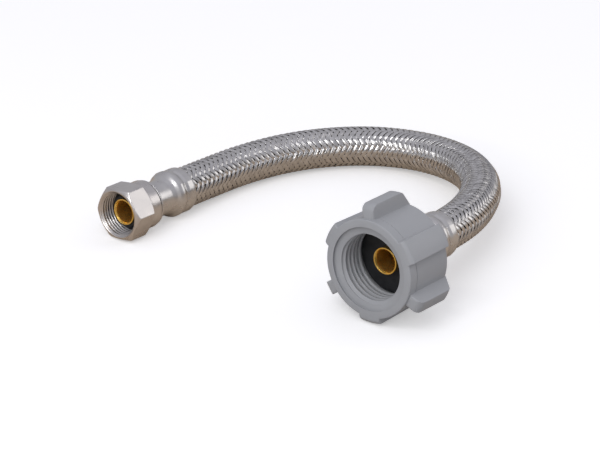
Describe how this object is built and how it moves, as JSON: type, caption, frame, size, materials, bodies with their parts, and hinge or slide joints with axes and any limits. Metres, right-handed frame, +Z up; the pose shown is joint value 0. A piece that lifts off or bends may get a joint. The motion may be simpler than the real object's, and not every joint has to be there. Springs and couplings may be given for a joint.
{
  "type": "braided supply line",
  "caption": "Short steel-braided water supply line lying in a U, with a hexagon compression nut on one end and a winged plastic nut on the other.",
  "frame": {"origin": "on the table, under the middle of the box round the two end fittings", "axes": "+X from the hexagon nut's end to the winged nut's end, -Y the way both mouths face, +Z up"},
  "size_m": [0.1212, 0.1063, 0.0365],
  "materials": {
    "nickel_plate": "satin plated",
    "brass": "machined",
    "stainless": "bright drawn",
    "braid_wire": "woven wire",
    "gray_plastic": "moulded",
    "black_rubber": "moulded",
    "hose_vinyl": "extruded",
    "yarn": "spun"
  },
  "bodies": {
    "hose_line": {"hex_end_stem": "brass", "hex_end_cone_washer": "black_rubber", "hex_end_ferrule": "stainless", "wing_end_stem": "brass", "wing_end_flat_washer": "black_rubber", "wing_end_ferrule": "stainless", "hose_inner_tube": "hose_vinyl", "hose_yarn_reinforcement": "yarn", "hose_outer_tube": "hose_vinyl", "hose_steel_braid": "braid_wire"},
    "hex_nut": {"hex_coupling_nut": "nickel_plate"},
    "wing_nut": {"wing_coupling_nut": "gray_plastic"}
  },
  "joints": [
    {"name": "hex_nut_spin", "type": "hinge", "parent": "hose_line", "child": "hex_nut", "pos_m": [-0.05136, -0.00953, 0.00815], "axis": [-0.0139, -0.9987, 0.0488], "continuous": true},
    {"name": "wing_nut_spin", "type": "hinge", "parent": "hose_line", "child": "wing_nut", "pos_m": [0.04194, 0.00055, 0.01655], "axis": [0.0139, -0.9988, 0.0471], "continuous": true}
  ]
}
